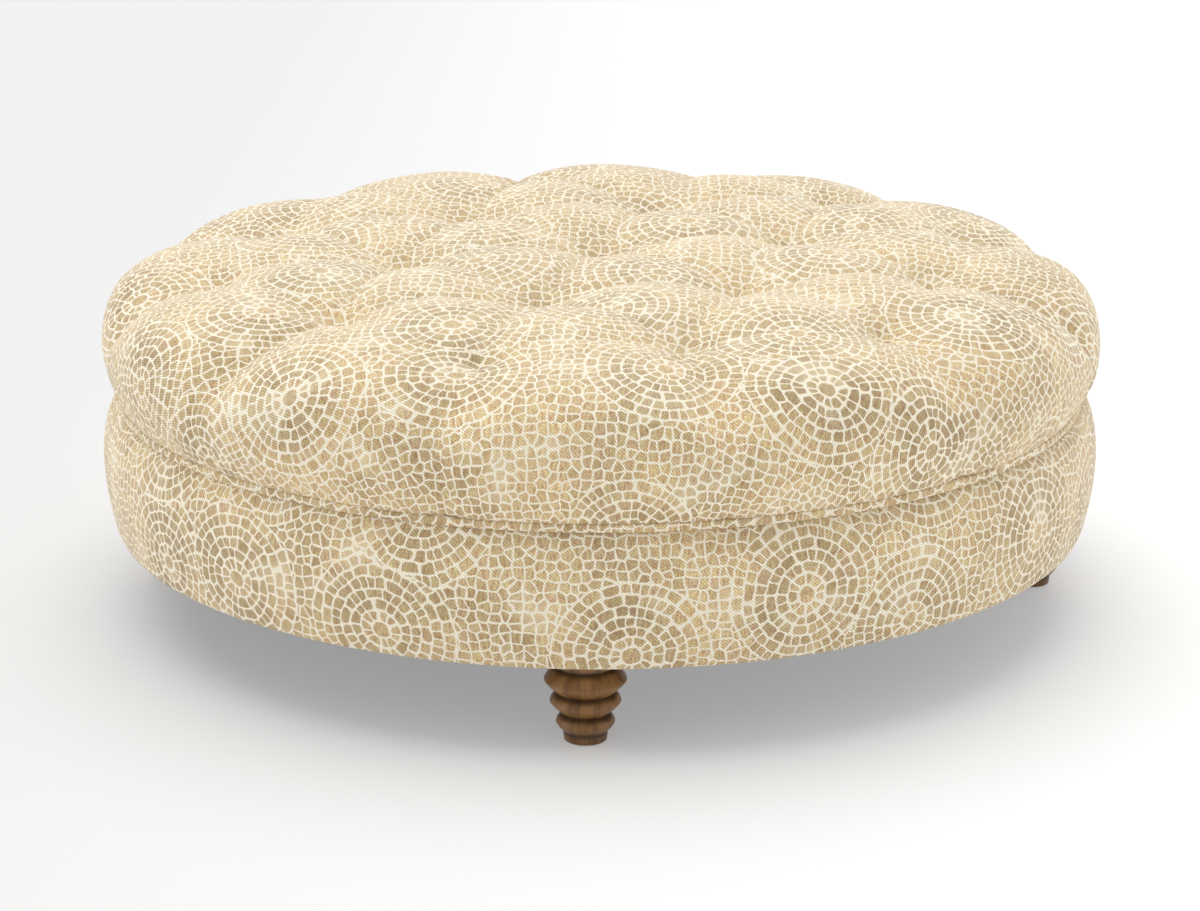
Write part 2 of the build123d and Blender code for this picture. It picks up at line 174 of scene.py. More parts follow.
# %% Floor
half_floor = 30.0
painted_floor_glow = 0.34  # how much of the floor seen by the camera glows with its own colour: painted light that lightens the object's cast shadow
painted_light_reach = 0.8  # painted light: the floor is painted paler from this far left of the centre to as far right
floor_mesh = bpy.data.meshes.new("floor")
floor_mesh.from_pydata([(-half_floor, -half_floor, 0), (half_floor, -half_floor, 0),
                        (half_floor, half_floor, 0), (-half_floor, half_floor, 0)], [], [(0, 1, 2, 3)])
floor = new_object("floor", floor_mesh)
floor_paint, tree, shader, place = new_material("matt_floor_paint", 0.9, 0.0)
where = add(tree, "SeparateXYZ", place)
across = add(tree, "MapRange", where.outputs["X"], -painted_light_reach, painted_light_reach)
# Painted light: both the colour the camera sees and the floor's own colour grow paler to the right.
seen = add(tree, "ValToRGB", across, stops=[(0.0, "#dedede"), (1.0, "#ffffff")])
lit = add(tree, "ValToRGB", across, stops=[(0.0, "#e9e9e9"), (1.0, "#ffffff")])
fill(tree, shader, {"Base Color": lit})
# Painted light: to the camera the floor partly glows, so the object's shadow on it is lighter than the
# lamps make it.
painted_glow = add(tree, "Emission", seen, 1.0)
path = add(tree, "LightPath").outputs
looking = add(tree, "Math MAXIMUM", path["Is Camera Ray"], path["Is Glossy Ray"])
looking = add(tree, "Math MAXIMUM", looking, path["Is Transmission Ray"])
share = add(tree, "Math MULTIPLY", looking, painted_floor_glow)
mixed = add(tree, "MixShader", share, shader, painted_glow)
fill(tree, tree.nodes["Material Output"], {"Surface": mixed})
floor_mesh.materials.append(floor_paint)
print("the floor is", 2 * half_floor, "m wide")

# %% [markdown]
# ## The printed cloth
# The cloth is a medium-weight cotton and linen twill, printed with a mosaic: rings of tan
# tiles on cream joints round many cores about 0.2 m apart, and loose tiles between them.
# An image could hold the print, but one that is worked out in nodes stays sharp from
# nearby. It is drawn from the cloth's own map, which is in metres, so it follows every
# pillow and fold. A Voronoi texture scatters the cores. Round each one the distance gives
# the ring, and the angle gives the tile in its ring, and what is near a ring's edge or a
# tile's edge is a joint. Past the last ring a finer Voronoi texture gives the loose tiles.
# Noise bends all of it, as a hand-drawn print is bent. The weave is a fine diagonal rib,
# which real cloth has about every 0.8 mm; here it is drawn at 2.9 mm so that it shows.

# %% A hand-drawn line
hand_wobbles = ((0.050, 0.0040), (0.014, 0.0026))  # the size of each noise, and its reach
border_wobble = (0.030, 0.012)
printed_twill, tree, shader, place = new_material("printed_cotton_twill", 0.88, 0.25)
cloth = add(tree, "UVMap", uv_map="cloth_map").outputs["UV"]

# The place on the cloth is bent a little by two noises, and more by a third one for the
# border between a medallion and the next.
bent = [cloth]
for size, reach in hand_wobbles + (border_wobble,):
    noise = add(tree, "TexNoise", cloth, {"Scale": 1 / size, "Detail": 1.0})
    centred = add(tree, "VectorMath SUBTRACT", noise.outputs["Color"], (0.5, 0.5, 0.5))
    bend = add(tree, "VectorMath SCALE", centred, {"Scale": 2 * reach})
    bent.append(add(tree, "VectorMath ADD", bent[-1], bend))
drawn, ragged = bent[-2:]
print("the cloth's own map is bent by", len(bent) - 1, "noises")

# %% Medallions
medallion_pitch = 0.200
scatter = 0.62  # how far cores and loose tiles stray from a square grid

# What is needed of a medallion: its centre, and how far away its border is.
medallion_sizes = {"Vector": ragged, "Scale": 1 / medallion_pitch, "Randomness": scatter}
medallion = add(tree, "TexVoronoi", medallion_sizes, voronoi_dimensions="2D", feature="F1")
border = add(tree, "TexVoronoi", medallion_sizes, voronoi_dimensions="2D", feature="DISTANCE_TO_EDGE")
offset = add(tree, "VectorMath SUBTRACT", drawn, medallion.outputs["Position"])
split = add(tree, "SeparateXYZ", offset)
flat = add(tree, "CombineXYZ", split.outputs["X"], split.outputs["Y"])
radius = add(tree, "VectorMath LENGTH", flat).outputs["Value"]
angle = add(tree, "Math ARCTAN2", split.outputs["Y"], split.outputs["X"])
turn = add(tree, "Math DIVIDE", angle, 2 * pi)
chance = add(tree, "SeparateColor", medallion.outputs["Color"]).outputs["Red"]
print("medallions are about", medallion_pitch, "m apart")

# %% Rings and tiles
core_radius = 0.0108
ring_width = 0.0127
tile_length = 0.0134
fewest_tiles = 11
extra_tiles = 2.0  # in each ring, over what its length would hold
stray_waves = 5.0  # how many times round a ring its joints stray to and fro
tile_stray = 0.014  # how far a ring's joints stray from even places, in turns

# The ring, and how far along and across it.
rings = add(tree, "Math MULTIPLY_ADD", radius, 1 / ring_width, 1 - core_radius / ring_width)
ring = add(tree, "Math FLOOR", rings)
across = add(tree, "Math FRACT", rings)
spaced = add(tree, "Math MULTIPLY_ADD", ring, 2 * pi * ring_width / tile_length, extra_tiles)
count = add(tree, "Math ROUND", spaced)
count = add(tree, "Math MAXIMUM", count, float(fewest_tiles))
ring_chance = add(tree, "TexWhiteNoise", {"Vector": add(tree, "CombineXYZ", ring, chance)},
                  noise_dimensions="2D").outputs["Value"]
uneven_phase = add(tree, "Math MULTIPLY_ADD", turn, stray_waves, ring_chance)
uneven_angle = add(tree, "Math MULTIPLY", uneven_phase, 2 * pi)
uneven = add(tree, "Math SINE", uneven_angle)
strayed = add(tree, "Math MULTIPLY_ADD", uneven, tile_stray, turn)
along = add(tree, "Math MULTIPLY_ADD", strayed, count, ring_chance)
tile = add(tree, "Math FLOORED_MODULO", add(tree, "Math FLOOR", along), count)
along_tile = add(tree, "Math FRACT", along)
print("tiles are about", tile_length, "m long, in rings", ring_width, "m wide")

# %% The edges of the tiles
round_corner = 0.0040
round_border = 0.0015

# Distances to the tile's sides, in metres, joined so that its corners are round. The
# core is one tile, so it has no sides inside it.
is_core = add(tree, "Math LESS_THAN", ring, 0.5)
inner_gap = add(tree, "Math ADD", across, is_core)
outer_gap = add(tree, "Math SUBTRACT", 1.0, across)
ring_gap = add(tree, "Math MINIMUM", inner_gap, outer_gap)
ring_edge = add(tree, "Math MULTIPLY", ring_gap, ring_width)
tile_gap = add(tree, "Math PINGPONG", along_tile, 0.5)
girth = add(tree, "Math MULTIPLY", radius, 2 * pi)
arc = add(tree, "Math DIVIDE", girth, count)
tile_edge = add(tree, "Math MULTIPLY", tile_gap, arc)
tile_edge = add(tree, "Math MULTIPLY_ADD", is_core, 1.0, tile_edge)
corner = add(tree, "Math SMOOTH_MIN", ring_edge, tile_edge, round_corner)
border_edge = add(tree, "Math MULTIPLY", border.outputs["Distance"], medallion_pitch)
ring_tile_edge = add(tree, "Math SMOOTH_MIN", corner, border_edge, round_border)
print("corners are rounded over", round_corner, "m")

# %% Loose tiles
rings_kept = 6
loose_tile = 0.0123
round_closing = 0.0025

# Past the last ring, loose tiles up to the circle that closes it.
loose_sizes = {"Vector": drawn, "Scale": 1 / loose_tile, "Randomness": scatter}
loose_gap = add(tree, "TexVoronoi", loose_sizes, voronoi_dimensions="2D", feature="DISTANCE_TO_EDGE")
loose_edge = add(tree, "Math MULTIPLY", loose_gap, loose_tile)
last_circle = core_radius + rings_kept * ring_width
past_circle = add(tree, "Math SUBTRACT", radius, last_circle)
loose_edge = add(tree, "Math SMOOTH_MIN", loose_edge, past_circle, round_closing)
is_loose = add(tree, "Math GREATER_THAN", ring, rings_kept + 0.5)
edge = add(tree, "Mix", is_loose, {2: ring_tile_edge, 3: loose_edge}, data_type="FLOAT")
print("loose tiles are about", loose_tile, "m across")

# %% The twill
twill_pitch = 0.0029
twill_turn = radians(-50)
slub_size = 0.0022
wave_unit = 2 * pi / 20  # the pitch of a Wave texture at a scale of 1

# The twill: diagonal ribs broken up by slubs in the yarn, in the colour and the bump.
leaned = add(tree, "Mapping", cloth, {"Rotation": (0, 0, twill_turn)})
ribs = add(tree, "TexWave", leaned,
           {"Scale": wave_unit / twill_pitch, "Distortion": 1.2, "Detail": 2.0, "Detail Scale": 2.0},
           wave_type="BANDS", bands_direction="X")
slub_map = add(tree, "Mapping", cloth, {"Rotation": (0, 0, twill_turn), "Scale": (1, 0.25, 1)})
slubs = add(tree, "TexNoise", slub_map, {"Scale": 1 / slub_size, "Detail": 2.0})
yarn = add(tree, "Math MULTIPLY", ribs, slubs)
print("ribs are drawn", twill_pitch, "m apart")

# %% Joints
joint_width = 0.00072
core_joint = 1.35  # how much wider a joint is near a core
near_core = (0.012, 0.032)  # from where to where it narrows
frayed_edge = 0.0011
ink_edge = (-0.0006, 0.0003)  # from no ink to full ink across a tile's edge
swell_size = 0.016  # of the places where joints are wider or thinner
washed_size = 0.075  # of the patches where the print is nearly washed out
washed_joint = 0.75  # how much wider joints are there

# Joints that swell and thin out, and washed patches where the print is nearly gone.
washed = add(tree, "TexNoise", cloth, {"Scale": 1 / washed_size, "Detail": 3.0, "Roughness": 0.6})
washed = add(tree, "MapRange", washed, 0.53, 0.68, interpolation_type="SMOOTHSTEP")
swell = add(tree, "TexNoise", cloth, {"Scale": 1 / swell_size, "Detail": 2.0})
swell = add(tree, "MapRange", swell, 0.3, 0.7, 0.6, 1.4)
width = add(tree, "Math MULTIPLY_ADD", washed, washed_joint, swell)
centre_joints = add(tree, "MapRange", radius, *near_core, core_joint * joint_width, joint_width)
width = add(tree, "Math MULTIPLY", width, centre_joints)
inside = add(tree, "Math SUBTRACT", edge, width)
inside = add(tree, "Math MULTIPLY_ADD", slubs, -frayed_edge, inside)
mask = add(tree, "MapRange", inside, *ink_edge, interpolation_type="SMOOTHSTEP")
print("half a joint is about", joint_width, "m wide")

# %% Ink
patch_size = 0.11
yarn_size = 0.0024
speckle_size = 0.0018
dark_start = (0.021, 0.028)  # the dark rings round a core begin here
dark_end = (0.045, 0.080)  # and fade out here
dark_share = 0.15
washed_fade = 0.42  # how far the tiles have faded in the washed patches
painted_crown_light = 0.20  # and how far they are painted paler on the crown: painted light, since the crown sees the most light
crown_levels = (0.385, 0.430)

# Each tile has its own tan, with darker patches over the cloth and mottled ink.
tile_chance = add(tree, "TexWhiteNoise", {"Vector": add(tree, "CombineXYZ", ring, tile, chance)},
                  noise_dimensions="3D").outputs["Value"]
loose_colour = add(tree, "TexVoronoi", loose_sizes, voronoi_dimensions="2D",
                   feature="F1").outputs["Color"]
loose_chance = add(tree, "SeparateColor", loose_colour).outputs["Red"]
tile_chance = add(tree, "Mix", is_loose, {2: tile_chance, 3: loose_chance}, data_type="FLOAT")
tans = add(tree, "ValToRGB", tile_chance,
           stops=[(0.0, "#cfbb97"), (0.2, "#dac7a3"), (0.45, "#dfccaa"), (0.65, "#e0cbae"),
                  (0.82, "#e2d1ab"), (1.0, "#e8d8b6")])
patches = add(tree, "TexNoise", cloth, {"Scale": 1 / patch_size, "Detail": 2.0})
patches = add(tree, "MapRange", patches, 0.35, 0.62, 0.8, 1.03)
mottle = add(tree, "TexNoise", slub_map, {"Scale": 1 / yarn_size, "Detail": 3.0})
yarn_tint = add(tree, "ValToRGB", mottle, stops=[(0.36, "#ffe3d0"), (0.5, "#fff5e4"), (0.64, "#f9f9dc")])
mottle = add(tree, "MapRange", mottle, 0.3, 0.7, 0.8, 1.2)
speckle = add(tree, "TexNoise", cloth, {"Scale": 1 / speckle_size, "Detail": 1.0})
speckle = add(tree, "MapRange", speckle, 0.35, 0.65, 0.8, 1.18)
mottle = add(tree, "Math MULTIPLY", mottle, speckle)
ink = add(tree, "Math MULTIPLY", patches, mottle)
dark_from = add(tree, "MapRange", radius, *dark_start)
dark_to = add(tree, "MapRange", radius, *dark_end, 1.0, 0.0, interpolation_type="SMOOTHSTEP")
dark_rings = add(tree, "Math MULTIPLY", dark_from, dark_to)
dark_rings = add(tree, "Math MULTIPLY_ADD", dark_rings, -dark_share, 1.0)
ink = add(tree, "Math MULTIPLY", ink, dark_rings)
tans = add(tree, "VectorMath SCALE", tans, {"Scale": ink})
tans = add(tree, "VectorMath MULTIPLY", tans, yarn_tint)
height = add(tree, "SeparateXYZ", place).outputs["Z"]
# Painted light: towards the crown the tiles are painted paler; in the washed patches the print itself has
# faded.
on_crown = add(tree, "MapRange", height, *crown_levels, 0.0, painted_crown_light)
washed_and_painted_light = add(tree, "Math MULTIPLY_ADD", washed, washed_fade, on_crown)
tans = add(tree, "Mix", {"Factor": washed_and_painted_light, 6: tans, 7: linear("#f3e3be")}, data_type="RGBA")
colour = add(tree, "Mix", {"Factor": mask, 6: linear("#fef5df"), 7: tans.outputs[2]}, data_type="RGBA")
print("the ink is mottled every", yarn_size, "m")

# %% The surface of the cloth
crumple_size = 0.028
crumple_height = 0.0016
rib_height = 0.0004

# The ribs shade the colour a little, and raise the surface.
rib_shade = add(tree, "MapRange", yarn, 0.0, 0.6, 0.78, 1.08)
colour = add(tree, "VectorMath SCALE", colour.outputs[2], {"Scale": rib_shade})
crumple = add(tree, "TexNoise", cloth, {"Scale": 1 / crumple_size, "Detail": 3.0})
soft_bump = add(tree, "Bump", {"Height": crumple, "Distance": crumple_height, "Strength": 0.5})
weave_bump = add(tree, "Bump", {"Height": yarn, "Distance": rib_height, "Strength": 0.7,
                                "Normal": soft_bump})
fill(tree, shader, {"Base Color": colour, "Normal": weave_bump, "Sheen Weight": 0.25,
                    "Sheen Roughness": 0.5})
print("cloth material:", len(tree.nodes), "nodes")

# %% [markdown]
# ## The wood of the legs
# The legs are beech, turned on a lathe, stained walnut brown and lacquered to a satin. The
# beads cut across the upright grain, so it shows as fine streaks that run up and down. The
# grooves and the foot are darkened with painted shade. Noise that is stretched upwards
# would do for a straight leg, but on the beads it breaks up into specks. Noise that is read
# by the turn about each leg's own axis gives streaks that run up the sides and fan out over
# the beads, and the distance from each groove's level gives the rings of painted shade.

# %% Stained beech
leg_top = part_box("leg_front")[1][2]
groove_drops = (0.0135, 0.0440, 0.0685, 0.0885)  # of the grooves under the top of a leg
groove_reach = 0.0062
streak_width = 0.0010
figure_width = 0.016
grain_stretch = 0.05  # the figure's scale along a leg, over its scale across
streak_climb = 0.04  # the same for the streaks
foot_shadow = (0.0105, 0.0140)  # the levels between which the foot's edge is darker
leg_distance = 0.5325  # of a leg's axis from the centre
streak_circle = 0.025

# Turned, stained and lacquered beech: upright streaks, painted shade in the grooves, satin.
stained_beech, tree, shader, place = new_material("stained_beech", 0.45, 0.4)
upright = add(tree, "Mapping", place, {"Scale": (1, 1, grain_stretch)})
half = leg_distance / 2
nearest = add(tree, "VectorMath ADD", place, (half, half, 0))
nearest = add(tree, "VectorMath SNAP", nearest, (leg_distance, leg_distance, 1.0))
from_axis = add(tree, "VectorMath SUBTRACT", place, nearest)
outward = add(tree, "VectorMath MULTIPLY", from_axis, (1, 1, 0))
outward = add(tree, "VectorMath NORMALIZE", outward)
outward = add(tree, "VectorMath SCALE", outward, {"Scale": streak_circle})
climbed = add(tree, "VectorMath MULTIPLY", place, (0, 0, streak_climb))
fanned = add(tree, "VectorMath ADD", outward, climbed)
streaks = add(tree, "TexNoise", fanned, {"Scale": 1 / streak_width, "Detail": 3.0, "Roughness": 0.6})
figure = add(tree, "TexNoise", upright, {"Scale": 1 / figure_width, "Detail": 2.0})
half_streaks = add(tree, "Math MULTIPLY", streaks, 0.5)
grain = add(tree, "Math MULTIPLY_ADD", figure, 0.5, half_streaks)
stain = add(tree, "ValToRGB", grain,
            stops=[(0.36, "#694826"), (0.46, "#815a31"), (0.55, "#916839"), (0.65, "#a27845")])
height = add(tree, "SeparateXYZ", place).outputs["Z"]
# Painted shade: the foot is darker, partly as painted shadow, and each groove is darker as painted shade.
shade = add(tree, "MapRange", height, *foot_shadow, 0.74, 1.0)
for drop in groove_drops:
    above = add(tree, "Math SUBTRACT", height, leg_top - drop)
    away = add(tree, "Math ABSOLUTE", above)
    light = add(tree, "MapRange", away, 0.0008, groove_reach, 0.34, 1.0, interpolation_type="SMOOTHSTEP")
    shade = add(tree, "Math MULTIPLY", shade, light)
colour = add(tree, "VectorMath SCALE", stain, {"Scale": shade})
gloss = add(tree, "MapRange", streaks, 0.3, 0.7, 0.36, 0.52)
pores = add(tree, "Bump", {"Height": streaks, "Distance": 0.0002, "Strength": 0.5})
fill(tree, shader, {"Base Color": colour, "Roughness": gloss, "Normal": pores, "Coat Weight": 0.12,
                    "Coat Roughness": 0.35})
print("leg grooves at", [round(leg_top - drop, 4) for drop in groove_drops], "m")

# %% [markdown]
# ## Plywood and frame timber
# The discs, webs and skins are birch plywood. A plain grain would do for their faces, but
# their cut edges show the plies, so the pattern is made of layers, as the real one is: the
# depth through the panel picks the ply, every second ply is darker because its grain runs
# the other way, and a thin glue line parts them. On a face only one ply shows, and on an
# edge all of them do. The posts and blocks are sawn pine, with growth lines a few
# millimetres apart.

# %% Birch plywood
tuft_turn = radians(15)
tuft_spacing = 0.240
ply_thickness = 0.0015
glue_share = 0.08  # of a ply's thickness
birch_fibre = 0.004  # drawn coarser than it is, so that it shows
birch_figure = 0.045
half_web = 0.009  # half of a web's thickness
web_face = tuft_spacing * 3 ** 0.5 / 4 - half_web  # a web's nearer face, from the centre
skin_face = 0.562  # about the bent skins' inner face, from the centre
web_normal = (cos(tuft_turn + radians(30)), sin(tuft_turn + radians(30)), 0)


def birch_plywood(name, stands, first_face):
    """Birch plies that lie "flat", stand "upright" as the webs do, or are "bent" about the centre."""
    material, tree, shader, place = new_material(name, 0.62, 0.35)
    if stands == "bent":
        depth = add(tree, "VectorMath MULTIPLY", place, (1, 1, 0))
        depth = add(tree, "VectorMath LENGTH", depth).outputs["Value"]
    else:
        across = (0, 0, 1) if stands == "flat" else web_normal
        depth = add(tree, "VectorMath DOT_PRODUCT", place, across).outputs["Value"]
        depth = add(tree, "Math ABSOLUTE", depth)
    layers = add(tree, "Math MULTIPLY_ADD", depth, 1 / ply_thickness, 0.5 - first_face / ply_thickness)
    ply = add(tree, "Math FLOOR", layers)
    crossed = add(tree, "Math FLOORED_MODULO", ply, 2.0)
    glue = add(tree, "Math LESS_THAN", add(tree, "Math FRACT", layers), glue_share)
    along = (0.06, 1, 1) if stands == "flat" else (1, 1, 0.06)
    stretched = add(tree, "Mapping", place, {"Scale": along})
    grain = add(tree, "TexNoise", stretched, {"Scale": 1 / birch_fibre, "Detail": 4.0, "Distortion": 0.4})
    figure = add(tree, "TexNoise", stretched,
                 {"Scale": 1 / birch_figure, "Detail": 2.0, "Distortion": 1.5})
    face = add(tree, "Math ADD", grain, figure)
    birch = add(tree, "ValToRGB", add(tree, "Math MULTIPLY", face, 0.5),
                stops=[(0.36, "#c8a271"), (0.5, "#dcbf92"), (0.64, "#e8d1a9")])
    toned = add(tree, "Math MULTIPLY_ADD", crossed, -0.16, 1.0)
    toned = add(tree, "Math MULTIPLY_ADD", glue, -0.4, toned)
    colour = add(tree, "VectorMath SCALE", birch, {"Scale": toned})
    sanded = add(tree, "Bump", {"Height": grain, "Distance": 0.0002, "Strength": 0.4})
    fill(tree, shader, {"Base Color": colour, "Normal": sanded})
    return material


flat_plywood = birch_plywood("birch_plywood_flat", "flat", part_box("base_panel")[0][2])
upright_plywood = birch_plywood("birch_plywood_upright", "upright", web_face)
bent_plywood = birch_plywood("birch_plywood_bent", "bent", skin_face)
print("plies are", ply_thickness, "m thick")

# %% Sawn pine
growth_pitch = 0.0042
pine_fibre = 0.0012

# Sawn pine: growth lines, fine fibres, a dry matt surface.
sawn_pine, tree, shader, place = new_material("sawn_pine", 0.75, 0.3)
bowed = add(tree, "Mapping", place, {"Scale": (1, 1, 0.12)})
growth = add(tree, "TexWave", bowed,
             {"Scale": wave_unit / growth_pitch, "Distortion": 3.0, "Detail": 2.0, "Detail Scale": 0.6},
             wave_type="RINGS", rings_direction="Z")
fibres = add(tree, "TexNoise", bowed, {"Scale": 1 / pine_fibre, "Detail": 3.0})
fibre_tone = add(tree, "Math MULTIPLY", fibres, 0.4)
tone = add(tree, "Math MULTIPLY_ADD", growth, 0.6, fibre_tone)
pine = add(tree, "ValToRGB", tone, stops=[(0.15, "#b98a52"), (0.45, "#dcb783"), (0.85, "#eacfa0")])
rough = add(tree, "Bump", {"Height": fibres, "Distance": 0.0004, "Strength": 0.5})
fill(tree, shader, {"Base Color": pine, "Normal": rough})
print("wood materials are made")

# %% [markdown]
# ## Stuffing, twine, steel and plastic
# The rest is small, inside or underneath, so one or two textures are enough for each, at
# the size of what the stuff is made of. Foam is a crowd of open cells, and a wrap is matted
# fibres. The twine's wax gives it a low gloss. Zinc plating is a soft grey metal with a
# faint cloudy pattern, and the cambric under the base is spun-bonded: black fibres pressed
# together in a grid of small dots.

# %% Foam
foam_cell = 0.0012  # drawn at about twice its real size, so that it shows
yellowing_size = 0.12

# Polyurethane foam, cut and slightly yellowed.
open_cell_foam, tree, shader, place = new_material("open_cell_polyurethane_foam", 0.95, 0.15)
cells = add(tree, "TexVoronoi", place, {"Scale": 1 / foam_cell})
yellowed = add(tree, "TexNoise", place, {"Scale": 1 / yellowing_size, "Detail": 2.0})
tone = add(tree, "Math MULTIPLY_ADD", cells.outputs["Distance"], -0.5, yellowed)
colour = add(tree, "ValToRGB", tone, stops=[(0.0, "#c2b68e"), (0.35, "#e2d8b6"), (0.7, "#efe6c8")])
pits = add(tree, "Bump", {"Height": cells.outputs["Distance"], "Distance": 0.0006, "Strength": 0.6})
fill(tree, shader, {"Base Color": colour, "Normal": pits})
print("foam cells are drawn", foam_cell, "m across")

# %% Wrap
wrap_fibre = 0.006  # of the matted tufts of fibre, which are finer than this

# Bonded polyester fibre: white and matted.
polyester_wrap, tree, shader, place = new_material("bonded_polyester_fibre", 0.9, 0.2)
fibres = add(tree, "TexNoise", place,
             {"Scale": 1 / wrap_fibre, "Detail": 6.0, "Roughness": 0.75, "Distortion": 2.5})
colour = add(tree, "ValToRGB", fibres, stops=[(0.3, "#d9d8d2"), (0.6, "#f2f1ec")])
matted = add(tree, "Bump", {"Height": fibres, "Distance": 0.0015, "Strength": 0.6})
fill(tree, shader, {"Base Color": colour, "Normal": matted, "Sheen Weight": 0.3})
print("fibre tufts are drawn", wrap_fibre, "m across")

# %% Twine
yarn_pitch = 0.0014

# Twisted polyester twine with wax: slanting yarns and a low gloss.
waxed_twine, tree, shader, place = new_material("waxed_polyester_twine", 0.55, 0.4)
yarns = add(tree, "TexWave", place, {"Scale": wave_unit / yarn_pitch, "Distortion": 0.6},
            wave_type="BANDS", bands_direction="DIAGONAL")
colour = add(tree, "ValToRGB", yarns, stops=[(0.0, "#b7a987"), (0.6, "#dccfae"), (1.0, "#e9dfc3")])
laid = add(tree, "Bump", {"Height": yarns, "Distance": 0.0003, "Strength": 0.6})
fill(tree, shader, {"Base Color": colour, "Normal": laid})
print("yarns are", yarn_pitch, "m apart")

# %% Cambric
dot_pitch = 0.0024
cambric_fibre = 0.003  # drawn coarser than it is, so that it shows

# Spun-bonded black cloth: a grid of pressed dots between matted fibres.
black_cambric, tree, shader, place = new_material("spun_bonded_black_cambric", 0.85, 0.3)
dots = add(tree, "TexVoronoi", place, {"Scale": 1 / dot_pitch, "Randomness": 0.0},
           voronoi_dimensions="2D")
fibres = add(tree, "TexNoise", place, {"Scale": 1 / cambric_fibre, "Detail": 5.0, "Distortion": 2.0})
tone = add(tree, "Math MULTIPLY", dots.outputs["Distance"], fibres)
colour = add(tree, "ValToRGB", tone, stops=[(0.05, "#121214"), (0.4, "#26262a")])
pressed = add(tree, "Bump", {"Height": tone, "Distance": 0.0004, "Strength": 0.7})
fill(tree, shader, {"Base Color": colour, "Normal": pressed, "Sheen Weight": 0.15})
print("pressed dots are", dot_pitch, "m apart")

# %% Steel
zinc_cloud = 0.004

# Bright zinc over steel: a cloudy, slightly blue grey.
zinc_plated_steel, tree, shader, place = new_material("zinc_plated_steel", 0.36, metallic=1.0)
clouds = add(tree, "TexNoise", place, {"Scale": 1 / zinc_cloud, "Detail": 3.0})
colour = add(tree, "ValToRGB", clouds, stops=[(0.3, "#a9aeb4"), (0.5, "#bfc3c6"), (0.7, "#cfd0cc")])
dulled = add(tree, "MapRange", clouds, 0.3, 0.7, 0.28, 0.46)
fill(tree, shader, {"Base Color": colour, "Roughness": dulled})
print("zinc has clouds", zinc_cloud, "m across")

# %% Plastic
spark_size = 0.0006
scuff_size = 0.008

# Black polyethylene: a waxy grey black with a fine spark texture and scuffs.
moulded_polyethylene, tree, shader, place = new_material("moulded_black_polyethylene", 0.55, 0.4)
texture = add(tree, "TexNoise", place, {"Scale": 1 / spark_size, "Detail": 2.0})
scuffs = add(tree, "TexNoise", place, {"Scale": 1 / scuff_size, "Detail": 5.0, "Distortion": 1.0})
colour = add(tree, "ValToRGB", scuffs, stops=[(0.4, "#1a1a1b"), (0.7, "#2b2b2c")])
sparked = add(tree, "Bump", {"Height": texture, "Distance": 0.0001, "Strength": 0.5})
fill(tree, shader, {"Base Color": colour, "Normal": sparked})
print("materials:", len(bpy.data.materials))

# %% [markdown]
# ## The form of the cushion
# Pulled down by nineteen tufts, the cloth makes pillows with soft creases from tuft to
# tuft, and twelve folds that run out over the rim. It could be sculpted, or simulated from
# a flat cloth, but a rule keeps every tuft and fold at its place: an outline turned about
# the centre, drawn in along the folds, and pressed down round each tuft by an amount that
# falls with the distance, more slowly along a crease than across a pillow.

# %% Sizes of the cushion
seam_level = 0.5 * (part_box("welt_cover")[0][2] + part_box("welt_cover")[1][2])
cushion_outline = np.array([  # radius and height, from the crown to the crease
    (0.0, 0.4320), (0.1076, 0.4322), (0.2421, 0.4320), (0.3874, 0.4272), (0.4788, 0.4178),
    (0.5400, 0.4050), (0.5720, 0.3885), (0.5895, 0.3650), (0.5965, 0.3320), (0.5922, 0.2960),
    (0.5880, 0.2760), (0.5835, 0.2660), (0.5760, 0.2606)])
fold_reach = np.array([0, 0.02, 0.05, 0.3, 0.8, 1.0, 0.85, 0.5, 0.2, 0.05, 0, 0, 0])
fold_depth = 0.023
fold_count = 12
inner_floor = 0.3945
rim_floor = 0.3885
pillow_run = 0.138
crease_power = 4.4
pillow_profile = 1.5  # 1 gives a pillow straight sides, more makes it fuller
crease_profile = 0.4  # how much straighter a crease rises than a pillow does
pinch_share = 0.50  # of a tuft's depth that is its narrow dimple; the rest is the slopes round it
pinch_width = 0.021
pinch_power = 1.3
crown_steps = 140  # of the outline, from the centre, that lie on the crown
nearly_centre = 0.005
print("the crease is", round(seam_level, 4), "m up")


# %% Tufts and outline
def smooth_path(points, steps):
    """Points close together on a smooth curve through the given ones."""
    padded = np.vstack([2 * points[0] - points[1], points, 2 * points[-1] - points[-2]])
    along = np.linspace(0, 1, steps, endpoint=False)[:, None]
    runs = []
    for before, start, end, after in zip(padded, padded[1:], padded[2:], padded[3:]):
        runs.append(0.5 * (2 * start + (end - before) * along
                           + (2 * before - 5 * start + 4 * end - after) * along ** 2
                           + (3 * start - before - 3 * end + after) * along ** 3))
    return np.vstack(runs + [points[-1:]])


def run_along(points):
    """How far each point is along the path through them."""
    return np.concatenate([[0], np.cumsum(np.hypot(*np.diff(points, axis=0).T))])


outline = smooth_path(np.column_stack([cushion_outline, fold_reach]), 24)
outline_run = run_along(outline[:, :2])
cushion_run = outline_run[-1]

# Each tuft has its distance and direction from the centre, the level that it is pulled
# down to, and the directions of the creases that leave it.
row_turns = [tuft_turn + side * pi / 3 for side in range(6)]
tufts = [(0.0, 0.0, inner_floor, row_turns)]
for toward in row_turns:
    middle = toward + pi / 6
    tufts.append((tuft_spacing, toward, inner_floor, row_turns))
    tufts.append((2 * tuft_spacing, toward, rim_floor,
                  [toward] + [toward + turn * pi / 3 for turn in (2, 3, 4)]))
    tufts.append((tuft_spacing * 3 ** 0.5, middle, rim_floor,
                  [middle] + [middle + turn * pi / 6 for turn in (3, 5, 7, 9)]))
print("tufts:", len(tufts), "- cloth from the centre to the crease:", round(cushion_run, 4), "m")


